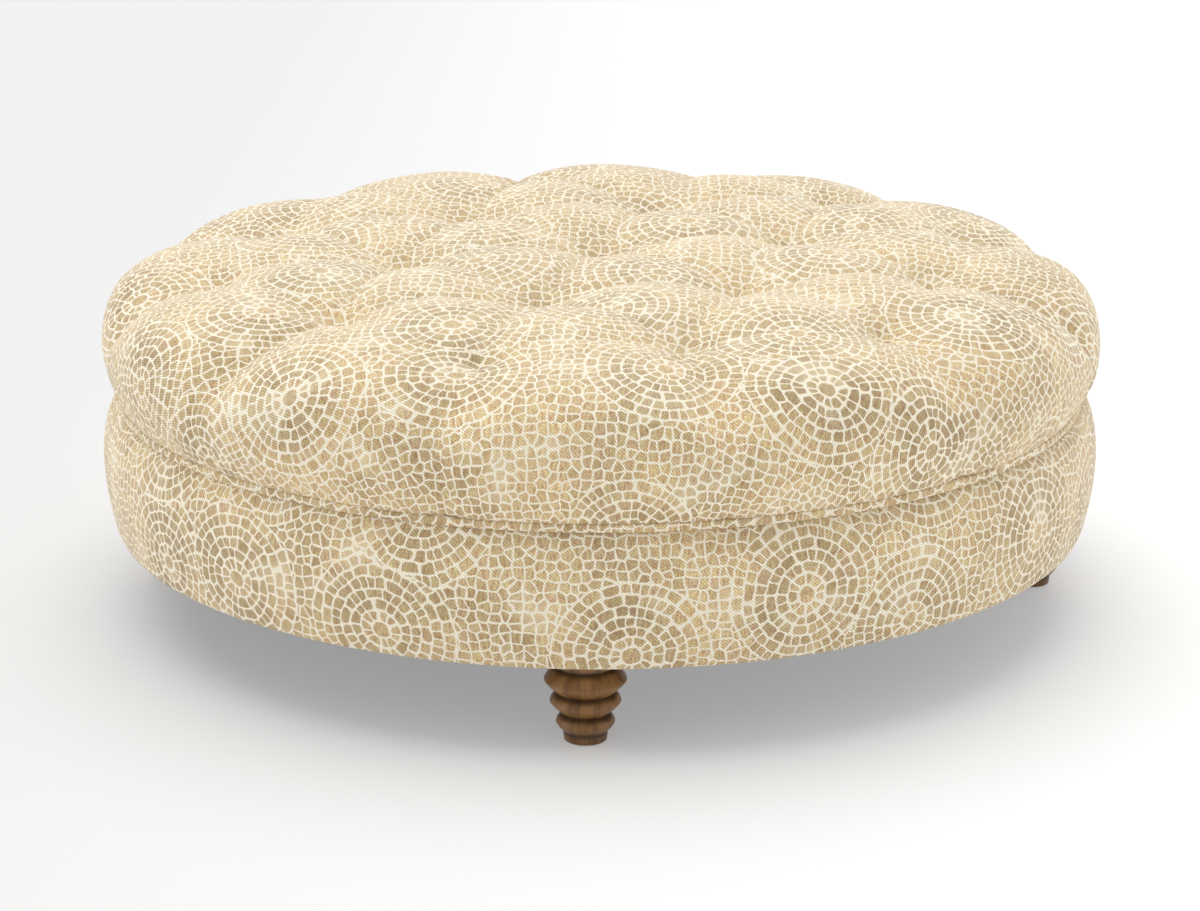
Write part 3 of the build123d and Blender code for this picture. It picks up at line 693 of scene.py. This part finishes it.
# %% The cushion's form at a run and a turn
def crease_share(toward, creases):
    """0 in the middle of a pillow and 1 on the creases, for directions about a tuft."""
    edges = np.sort(np.mod(creases, 2 * pi))
    edges = np.concatenate([[edges[-1] - 2 * pi], edges, [edges[0] + 2 * pi]])
    toward = np.mod(toward, 2 * pi)
    sector = np.clip(np.searchsorted(edges, toward) - 1, 0, len(edges) - 2)
    low, high = edges[sector], edges[sector + 1]
    return np.abs(2 * toward - low - high) / (high - low)


def cushion_form(run, turn):
    """Places on the cushion, at a run from the centre over the cloth and a turn about it."""
    radius, height, folded = [np.interp(run, outline_run, column) for column in outline.T]
    ahead, behind = [
        np.column_stack([np.interp(run + step, outline_run, column) for column in outline.T[:2]])
        for step in (1e-4, -1e-4)]
    along = ahead - behind
    along[np.asarray(run) < nearly_centre] = (1, 0)
    along /= np.linalg.norm(along, axis=1)[:, None]
    out_r, out_z = -along[:, 1], along[:, 0]

    between = (turn - tuft_turn) / (2 * pi / fold_count)
    from_fold = 2 * np.abs(between - np.round(between))
    folded_radius = radius - fold_depth * folded * (1 - from_fold) ** 2
    x, y = radius * np.cos(turn), radius * np.sin(turn)

    pressed = np.zeros_like(radius)
    for tuft_radius, tuft_angle, floor_level, creases in tufts:
        tuft_x, tuft_y = tuft_radius * cos(tuft_angle), tuft_radius * sin(tuft_angle)
        tuft_z = np.interp(tuft_radius, outline[:crown_steps, 0], outline[:crown_steps, 1])
        distance = np.sqrt((x - tuft_x) ** 2 + (y - tuft_y) ** 2 + (height - tuft_z) ** 2)
        crease = crease_share(np.arctan2(y - tuft_y, x - tuft_x), creases)
        furthest = pillow_run / np.cos(crease * pi / 6) ** crease_power
        slope = np.clip(1 - distance / furthest, 0, 1) ** (pillow_profile - crease_profile * crease)
        dimple = np.exp(-(distance / pinch_width) ** pinch_power)
        share = pinch_share * dimple + (1 - pinch_share) * slope
        pressed += ((tuft_z - floor_level) * share) ** 4
    drop = pressed ** 0.25
    new_radius = folded_radius - out_r * drop
    return np.column_stack([new_radius * np.cos(turn), new_radius * np.sin(turn), height - out_z * drop])


between_tufts = cushion_form(np.array([pillow_run]), np.array([tuft_turn + pi / 6]))
print("between three tufts the form is", round(float(between_tufts[0, 2]), 4), "m high")

# %% [markdown]
# ## Cloth on the form
# A grid of squares would be simpler, but it crowds or stretches somewhere on a round
# cushion. The mesh is cut as the cloth lies: rings of small triangles round the centre, so
# that its points are evenly spread and the print's map is simply each point's place on the
# flat cloth. A rule alone makes pillows that are too even, so Blender's cloth then presses
# them out from inside for a few moments, with the tufts and the edge held. The wrap and the
# foam press against the cover, so they are the same form drawn in.

# %% Helpers for cloth
crown_only = 0.3  # above this level a place is on the crown or the upper rim


def relaxed(places, faces, rounds, held):
    """Places after a few rounds of drawing each point to the middle of its neighbours."""
    faces = np.array(faces)
    ends = np.concatenate([faces[:, [0, 1]], faces[:, [1, 2]], faces[:, [2, 0]]])
    ends = np.concatenate([ends, ends[:, ::-1]])
    near = np.bincount(ends[:, 0], minlength=len(places))[:, None]
    for _ in range(rounds):
        sums = np.column_stack([
            np.bincount(ends[:, 0], weights=places[ends[:, 1], axis], minlength=len(places))
            for axis in range(3)])
        places = np.where(held[:, None], places, 0.5 * places + 0.5 * sums / near)
    return places


def at_tufts(places, nearness):
    """Which places are nearer than this to the middle of a tuft."""
    found = np.zeros(len(places), bool)
    for tuft_radius, tuft_angle, *_ in tufts:
        found |= np.hypot(places[:, 0] - tuft_radius * cos(tuft_angle),
                          places[:, 1] - tuft_radius * sin(tuft_angle)) < nearness
    return found & (places[:, 2] > crown_only)


def padded_cloth(name, places, faces, flat):
    """A smooth, padded piece, with each point's place on the flat cloth as its cloth_map."""
    mesh = bpy.data.meshes.new(name)
    mesh.from_pydata(places.tolist(), [], faces)
    corners = np.empty(len(mesh.loops), np.int32)
    mesh.loops.foreach_get("vertex_index", corners)
    cloth_map = mesh.uv_layers.new(name="cloth_map").data
    cloth_map.foreach_set("uv", flat[corners].astype(np.float32).ravel())
    mesh.polygons.foreach_set("use_smooth", np.ones(len(mesh.polygons), bool))
    mesh.update()
    piece = new_object(name, mesh)
    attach(piece, "root")
    return piece


# %% A disc of cloth
cover_step = 0.0070
stitch_reach = 0.005  # how near to a tuft's middle the cloth keeps its place on the form
ring_count = ceil(cushion_run / cover_step)
ring_of = np.concatenate([[0]] + [np.full(6 * ring, ring) for ring in range(1, ring_count + 1)])
turn_of = np.concatenate([[0]] + [np.arange(6 * ring) / (6 * ring) for ring in range(1, ring_count + 1)])
runs, turns = ring_of * cushion_run / ring_count, turn_of * 2 * pi + tuft_turn
faces = []
for ring in range(1, ring_count + 1):
    outer, inner = 1 + 3 * ring * (ring - 1), 1 + 3 * (ring - 1) * (ring - 2) if ring > 1 else 0
    around, around_inner = 6 * ring, max(6 * (ring - 1), 1)
    for side in range(6):
        for step in range(ring):
            a = outer + side * ring + step
            b = outer + (side * ring + step + 1) % around
            c = inner + (side * (ring - 1) + step) % around_inner
            faces.append((c, a, b))
            if step < ring - 1:
                faces.append((c, b, inner + (side * (ring - 1) + step + 1) % around_inner))
places = cushion_form(runs, turns)
places = relaxed(places, faces, 2, (ring_of > ring_count - 3) | at_tufts(places, stitch_reach))
flat = np.column_stack([runs * np.cos(turns), runs * np.sin(turns)])
cushion_cover = padded_cloth("cushion_cover", places, faces, flat)
print("cushion cover:", len(faces), "faces in", ring_count, "rings")


# %% Stuffing
stuffing_moments = 14
stuffing_pressure = 3.0
stuffing_growth = 0.015
furthest_move = 0.010
held_edge = 0.275  # below this level the cloth is held by the seam in the crease
held_tuft = 0.008  # and it is held this near to the middle of a tuft


def read_places(mesh):
    """The places of a mesh's points, one row each."""
    places = np.empty(3 * len(mesh.vertices), np.float32)
    mesh.vertices.foreach_get("co", places)
    return places.reshape(-1, 3).astype(float)


def stuffed(piece, held):
    """Presses the cloth out from inside with Blender's cloth, and keeps the result."""
    before = read_places(piece.data)
    group = piece.vertex_groups.new(name="held")
    group.add(np.flatnonzero(held).tolist(), 1.0, "REPLACE")
    cloth = piece.modifiers.new("cloth", "CLOTH")
    cloth.settings.quality = 4
    cloth.settings.mass = 0.25
    cloth.settings.use_pressure = True
    cloth.settings.uniform_pressure_force = stuffing_pressure
    cloth.settings.shrink_min = -stuffing_growth
    cloth.settings.bending_stiffness = 0.6
    cloth.settings.vertex_group_mass = "held"
    cloth.settings.effector_weights.gravity = 0
    cloth.collision_settings.use_collision = False
    for moment in range(1, stuffing_moments + 1):
        scene.frame_set(moment)
    evaluated = piece.evaluated_get(bpy.context.evaluated_depsgraph_get())
    move = read_places(evaluated.data) - before
    size = np.linalg.norm(move, axis=1)[:, None]
    move *= np.minimum(size, furthest_move) / np.maximum(size, 1e-9)
    piece.modifiers.remove(cloth)
    piece.vertex_groups.remove(group)
    scene.frame_set(1)
    piece.data.vertices.foreach_set("co", (before + move).astype(np.float32).ravel())
    piece.data.update()
    return move


places = read_places(cushion_cover.data)
held = (places[:, 2] < held_edge) | at_tufts(places, held_tuft)
move = stuffed(cushion_cover, held)
moved = np.linalg.norm(move, axis=1)
print("stuffing moved the cloth by up to", round(float(moved.max()), 4), "m, mean",
      round(float(moved.mean()), 4))
cushion_cover.data.materials.append(printed_twill)
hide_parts("top_cover")

# %% Wrap and foam inside the cushion
wrap_inset = 0.004
foam_inset = 0.010


def lining(name, outer, inset):
    """A pad inside a cover: the same form, drawn in along its normals."""
    mesh = outer.data.copy()
    mesh.materials.clear()
    normals = np.empty(3 * len(mesh.vertices), np.float32)
    mesh.vertices.foreach_get("normal", normals)
    places = read_places(mesh) - inset * normals.reshape(-1, 3)
    mesh.vertices.foreach_set("co", places.astype(np.float32).ravel())
    mesh.name = name
    mesh.update()
    piece = new_object(name, mesh)
    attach(piece, "root")
    return piece


cushion_wrap = lining("cushion_wrap", cushion_cover, wrap_inset)
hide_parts("top_batting")
cushion_foam = lining("cushion_foam", cushion_cover, foam_inset)
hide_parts("top_foam")
pieces_of_foam = [cushion_foam]
print("wrap and foam:", len(cushion_wrap.data.polygons), "faces each")

# %% [markdown]
# ## The band
# The lower band is the same cloth, one strip with its seam at the back, pulled round four
# strips of foam and turned in under the base. Cloth could be simulated here too, but the
# band is taut and even all round, so an outline turned about the centre is enough.

# %% Band
band_outline = smooth_path(np.array([  # radius and height, from the crease to under the base
    (0.5740, 0.2566), (0.5815, 0.2548), (0.5872, 0.2500), (0.5938, 0.2395), (0.6002, 0.2180),
    (0.6030, 0.1905), (0.6012, 0.1560), (0.5955, 0.1230), (0.5918, 0.1085), (0.5893, 0.1030),
    (0.5850, 0.1014), (0.5760, 0.1014), (0.5420, 0.1014)]), 10)
band_columns = 640
band_rows = 40
map_top = 3.0  # where on the printed cloth the band and the welt are cut from
back_seam = pi / 2


def turned_cloth(name, outline_points, runs, turns, capped=False):
    """Cloth on an outline turned about the centre, mapped by its length both ways."""
    path_run = run_along(outline_points)
    run, turn = [grid.ravel() for grid in np.meshgrid(runs, turns, indexing="ij")]
    radius, height = [np.interp(run, path_run, column) for column in outline_points.T]
    places = np.column_stack([radius * np.cos(turn), radius * np.sin(turn), height])
    row = len(turns)
    faces = []
    for start in range(0, (len(runs) - 1) * row, row):
        for corner in range(start, start + row - 1):
            faces.append((corner, corner + row, corner + row + 1, corner + 1))
    if capped:
        faces.append(list(range(0, len(places), row)))
        faces.append(list(range(len(places) - 1, -1, -row)))
    flat = np.column_stack([turn * outline_points[:, 0].max(), map_top - run])
    return padded_cloth(name, places, faces, flat)


def all_round(columns):
    """Even turns about the centre, from the seam at the back round to it again."""
    return np.linspace(back_seam - 2 * pi, back_seam, columns + 1)


band_runs = np.linspace(0, run_along(band_outline)[-1], band_rows + 1)
band_cover = turned_cloth("band_cover", band_outline, band_runs, all_round(band_columns))
band_cover.data.materials.append(printed_twill)
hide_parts("side_cover")
print("band cover:", len(band_cover.data.polygons), "faces")

# %% Foam strips under the band
strip_inset = 0.006
strip_back = np.array([(0.570, 0.108), (0.570, 0.250)])  # radius and height, along the skin
strip_least = (0.5695, 0.104)  # a strip's outline stays outside this radius and above this height
strip_columns = 60
strip_outline = np.vstack([band_outline[::4] - [strip_inset, 0.0], strip_back])
strip_outline = strip_outline[(strip_outline > strip_least).all(axis=1)]
strip_outline = np.vstack([strip_outline, strip_outline[:1]])
for side, direction in (("front", -0.5 * pi), ("right", 0.0), ("back", 0.5 * pi), ("left", pi)):
    quarter = np.linspace(direction - pi / 4, direction + pi / 4, strip_columns + 1)
    strip = turned_cloth(f"band_foam_{side}", strip_outline, run_along(strip_outline), quarter,
                         capped=True)
    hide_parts(f"side_foam_{side}")
    pieces_of_foam.append(strip)
print("foam pieces:", len(pieces_of_foam))

# %% [markdown]
# ## The welt
# A welt is a strip of the same cloth sewn round a cord. It fills the crease between the
# cushion and the band, and their weight has squashed it nearly square, so it shows as a
# narrow strip between two fine lines. A bevelled curve could give its shape, but the
# band's function gives the cloth's map as well, so the outline, a circle pushed towards a
# square, is turned about the centre like the band's.

# %% The welt in the crease
welt_half = (0.0085, 0.0052)  # half of the squashed welt's width and height
welt_centre = (0.5752, seam_level + 0.0008)
welt_squash = 0.4  # 1 leaves it round, less makes it squarer
welt_columns = 480
filler_share = 0.6
filler_columns = 240
around_welt = np.linspace(pi, -pi, 25)
squashed = np.column_stack([np.cos(around_welt), np.sin(around_welt)])
squashed = np.sign(squashed) * np.abs(squashed) ** welt_squash
welt_outline = welt_centre + squashed * welt_half
welt_run = run_along(welt_outline)
crease_welt = turned_cloth("crease_welt", welt_outline, welt_run, all_round(welt_columns))
crease_welt.data.materials.append(printed_twill)
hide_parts("welt_cover")
cord_outline = welt_centre + filler_share * squashed * welt_half
welt_filler = turned_cloth("welt_filler", cord_outline, welt_run, all_round(filler_columns))
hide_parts("welt_cord")
print("welt and filler:", len(crease_welt.data.polygons), "and", len(welt_filler.data.polygons), "faces")

# %% [markdown]
# ## The tufting twines
# Each tuft is one length of waxed twine: two strands twisted together, from a small stitch
# in the cloth down through the foam and the deck to a washer, with a knot under it. All
# nineteen are alike, so a Geometry Nodes tree models one and sets a copy at each tuft,
# stretched to that tuft's level. The result is made a plain mesh before it rides.

# %% One tie for every tuft
lowest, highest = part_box("tuft_twines")
tie_length = highest[2] - lowest[2]
knot_height = 0.003
strand_radius = 0.0007
strand_offset = 0.00055
twist_pitch = 0.012
stitch_length = 0.0042
knot_across = (0.0056, 0.0050)
stitch_across = (0.0015, 0.0016)
tie_sizes = {
    "Length": tie_length, "Strand Radius": strand_radius, "Strand Offset": strand_offset,
    "Twist Pitch": twist_pitch, "Knot Height": knot_height, "Stitch Length": stitch_length}
print("a tie is", round(tie_length, 4), "m long")

# %% The tie's tree
# A twisted twine with its knot below and its stitch on top, at every point.
tree = bpy.data.node_groups.new("tufting_tie", "GeometryNodeTree")
tree.interface.new_socket("Geometry", in_out="INPUT", socket_type="NodeSocketGeometry")
tree.interface.new_socket("Geometry", in_out="OUTPUT", socket_type="NodeSocketGeometry")
for size in tie_sizes:
    tree.interface.new_socket(size, in_out="INPUT", socket_type="NodeSocketFloat")
given = tree.nodes.new("NodeGroupInput").outputs
result = tree.nodes.new("NodeGroupOutput").inputs
turns = add(tree, "Math DIVIDE", given["Length"], given["Twist Pitch"])
profile = add(tree, "GeometryNodeCurvePrimitiveCircle",
              {"Resolution": 6, "Radius": given["Strand Radius"]})
strand = add(tree, "GeometryNodeCurveSpiral",
             {"Resolution": 8, "Rotations": turns, "Height": given["Length"],
              "Start Radius": given["Strand Offset"], "End Radius": given["Strand Offset"]})
strand = add(tree, "GeometryNodeCurveToMesh",
             {"Curve": strand, "Profile Curve": profile.outputs["Curve"], "Fill Caps": True})
other = add(tree, "GeometryNodeTransform", {"Geometry": strand, "Rotation": (0, 0, pi)})
ball = add(tree, "GeometryNodeMeshUVSphere", {"Segments": 12, "Rings": 8, "Radius": 0.5})
knot_size = add(tree, "CombineXYZ", knot_across[0], knot_across[1], given["Knot Height"])
knot_middle = add(tree, "Math MULTIPLY", given["Knot Height"], 0.5)
knot_place = add(tree, "CombineXYZ", {"Z": knot_middle})
knot = add(tree, "GeometryNodeTransform",
           {"Geometry": ball.outputs["Mesh"], "Translation": knot_place, "Scale": knot_size})
stitch_size = add(tree, "CombineXYZ", given["Stitch Length"], stitch_across[0], stitch_across[1])
stitch_place = add(tree, "CombineXYZ", {"Z": given["Length"]})
stitch = add(tree, "GeometryNodeTransform",
             {"Geometry": ball.outputs["Mesh"], "Translation": stitch_place, "Scale": stitch_size})
tie = add(tree, "GeometryNodeJoinGeometry")
for bit in (strand, other, knot, stitch):
    tree.links.new(bit.outputs[0], tie.inputs[0])
stretch = add(tree, "GeometryNodeInputNamedAttribute", {"Name": "stretch"}, data_type="FLOAT")
scale = add(tree, "CombineXYZ", 1.0, 1.0, stretch)
ties = add(tree, "GeometryNodeInstanceOnPoints",
           {"Points": given["Geometry"], "Instance": tie, "Scale": scale})
real = add(tree, "GeometryNodeRealizeInstances", ties)
finished = add(tree, "GeometryNodeSetMaterial", {"Geometry": real, "Material": waxed_twine})
tree.links.new(finished.outputs[0], result[0])
print("tie tree:", len(tree.nodes), "nodes")

# %% The ties
points = bpy.data.meshes.new("tufting_ties")
feet = [(radius * cos(angle), radius * sin(angle), lowest[2]) for radius, angle, *_ in tufts]
points.from_pydata(feet, [], [])
stretches = [(level - lowest[2]) / tie_length for _, _, level, _ in tufts]
points.attributes.new("stretch", "FLOAT", "POINT").data.foreach_set("value", stretches)
tufting_ties = new_object("tufting_ties", points)
modifier = tufting_ties.modifiers.new(tree.name, "NODES")
modifier.node_group = tree
for item in tree.interface.items_tree:
    if item.in_out == "INPUT" and item.name in tie_sizes:
        modifier[item.identifier] = float(tie_sizes[item.name])
evaluated = tufting_ties.evaluated_get(bpy.context.evaluated_depsgraph_get())
made = bpy.data.meshes.new_from_object(evaluated)
tufting_ties.modifiers.remove(modifier)
tufting_ties.data = made
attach(tufting_ties, "root")
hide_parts("tuft_twines")
print("tufting ties:", len(tufting_ties.data.polygons), "faces")

# %% [markdown]
# ## The dust cover
# Under the base is a disc of black cambric, stapled round its edge and held up by the tops
# of the legs. Between them the thin cloth hangs down a few millimetres, with small
# ripples that run in from the staples. Simulated cloth would hang much the same, but the
# sag is small and plain, so it is a disc with those two heights added, given the thickness
# of the cloth.

# %% How far the cloth hangs
dust_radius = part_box("dust_cover")[1][0]
dust_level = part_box("dust_cover")[1][2]
dust_thickness = 0.0006
dust_sag = 0.005
staple_inset = 0.013
staple_circle = 0.5 * (dust_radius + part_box("dust_cover_staples")[1][0]) - staple_inset
staple_count = 36
ripple_height = 0.0007
ripple_reach = 0.09
sag_power = 0.7
dust_rings, dust_columns = 60, 216
radii = np.linspace(0, dust_radius, dust_rings + 1)[1:]
angles = np.arange(dust_columns) / dust_columns * 2 * pi
radius, angle = [grid.ravel() for grid in np.meshgrid(radii, angles, indexing="ij")]
x, y = np.append(radius * np.cos(angle), 0.0), np.append(radius * np.sin(angle), 0.0)
inward = np.clip((staple_circle - np.hypot(x, y)) / staple_circle, 0, 1)
ripples = ripple_height * np.exp(-inward * staple_circle / ripple_reach)
ripples *= 0.5 - 0.5 * np.cos(staple_count * np.append(angle, 0.0) + pi)
leg_circle = 0.5 * (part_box("leg_right")[0][0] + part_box("leg_right")[1][0])
leg_top_radius = 0.036
leg_reach = 0.06  # how far from a leg's edge its top holds the cloth up
propped = np.ones_like(x)
for side in range(4):
    away = np.hypot(x - leg_circle * cos(side * pi / 2), y - leg_circle * sin(side * pi / 2))
    propped = np.minimum(propped, np.clip((away - leg_top_radius) / leg_reach, 0, 1))
sagging = dust_sag * np.sin(inward * pi / 2) ** sag_power + ripples
heights = dust_level - dust_thickness - propped * sagging
print("dust cover hangs down to", round(float(heights.min()), 4), "m")

# %% The hanging sheet
middle = len(x) - 1
dust_faces = [(middle, (column + 1) % dust_columns, column) for column in range(dust_columns)]
for ring in range(dust_rings - 1):
    for column in range(dust_columns):
        following = (column + 1) % dust_columns
        low, high = ring * dust_columns, (ring + 1) * dust_columns
        dust_faces.append((low + column, low + following, high + following, high + column))
dust_mesh = bpy.data.meshes.new("cambric_sheet")
dust_mesh.from_pydata(np.column_stack([x, y, heights]).tolist(), [], dust_faces)
dust_mesh.polygons.foreach_set("use_smooth", np.ones(len(dust_mesh.polygons), bool))
dust_mesh.materials.append(black_cambric)
cambric_sheet = new_object("cambric_sheet", dust_mesh)
thicken = cambric_sheet.modifiers.new("thickness", "SOLIDIFY")
thicken.thickness = dust_thickness
thicken.offset = -1
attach(cambric_sheet, "root")
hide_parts("dust_cover")
print("dust cover:", len(dust_faces), "faces before it is thickened")

# %% [markdown]
# ## The rest of the CAD nodes
# The frame, the fastenings, the legs and the glides keep their CAD meshes. The record says
# what each is made of, so each node takes the material of its slot. Plywood is the one
# material that depends on how the piece stands.

# %% Materials onto the nodes
plywood_of = {"deck_panel": flat_plywood, "base_panel": flat_plywood,
              "web_left": upright_plywood, "web_right": upright_plywood}
finish_of = {"zinc_plated_steel": zinc_plated_steel, "frame_timber": sawn_pine,
             "turned_wood": stained_beech, "glide_plastic": moulded_polyethylene,
             "plywood": bent_plywood}
for subpart in frame["record"]["subparts"]:
    name = subpart["node"]
    finish = plywood_of.get(name, finish_of.get(subpart["material_slot"]))
    if finish is not None:
        for material_slot in nodes[name].material_slots:
            material_slot.material = finish
for piece in pieces_of_foam:
    piece.data.materials.append(open_cell_foam)
cushion_wrap.data.materials.append(polyester_wrap)
welt_filler.data.materials.append(waxed_twine)
print("every node and piece has its material")
